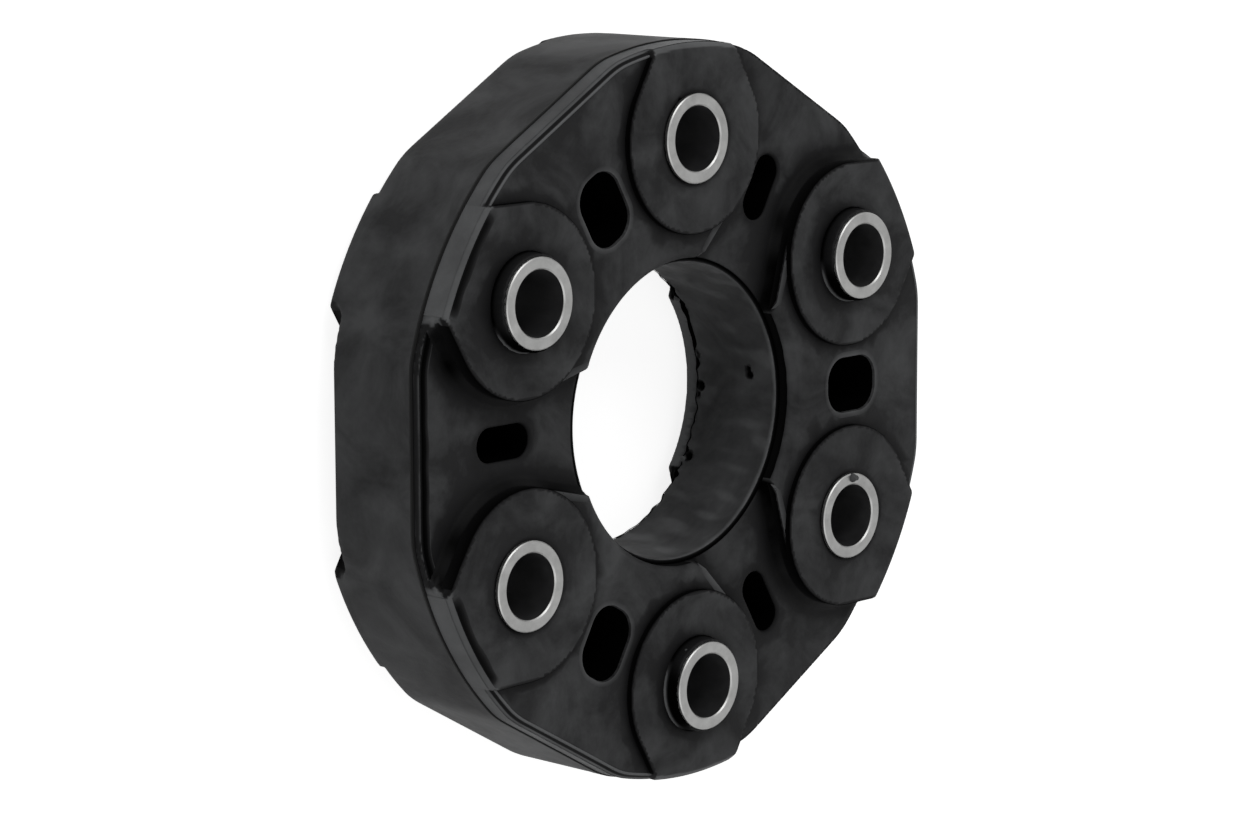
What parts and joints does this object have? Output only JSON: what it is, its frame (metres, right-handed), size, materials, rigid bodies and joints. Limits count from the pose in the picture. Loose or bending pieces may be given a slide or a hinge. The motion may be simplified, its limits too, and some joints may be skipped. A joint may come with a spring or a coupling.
{
  "type": "driveshaft flex disc",
  "caption": "Moulded rubber coupling disc with steel bolt sleeves standing out alternately at each face, cord loops inside, and slots through the links round an open centre bore.",
  "frame": {"origin": "centre of the disc on its middle plane", "axes": "+Z along the disc's axis, out of the front face; +Y through the centre of bolt_sleeve_1"},
  "size_m": [0.138, 0.1418, 0.0376],
  "materials": {
    "rubber": "moulded, semi-matt, mottled with use",
    "steel": "turned ends, dull and stained",
    "cord": "twisted polyester cord, wound in layers"
  },
  "bodies": {
    "root": {"rubber_body": "rubber", "bolt_sleeve_1": "steel", "bolt_sleeve_2": "steel", "bolt_sleeve_3": "steel", "bolt_sleeve_4": "steel", "bolt_sleeve_5": "steel", "bolt_sleeve_6": "steel", "cord_loop_middle_1": "cord", "cord_loop_middle_3": "cord", "cord_loop_middle_5": "cord", "cord_loop_front_2": "cord", "cord_loop_front_4": "cord", "cord_loop_front_6": "cord", "cord_loop_rear_2": "cord", "cord_loop_rear_4": "cord", "cord_loop_rear_6": "cord"}
  },
  "joints": []
}
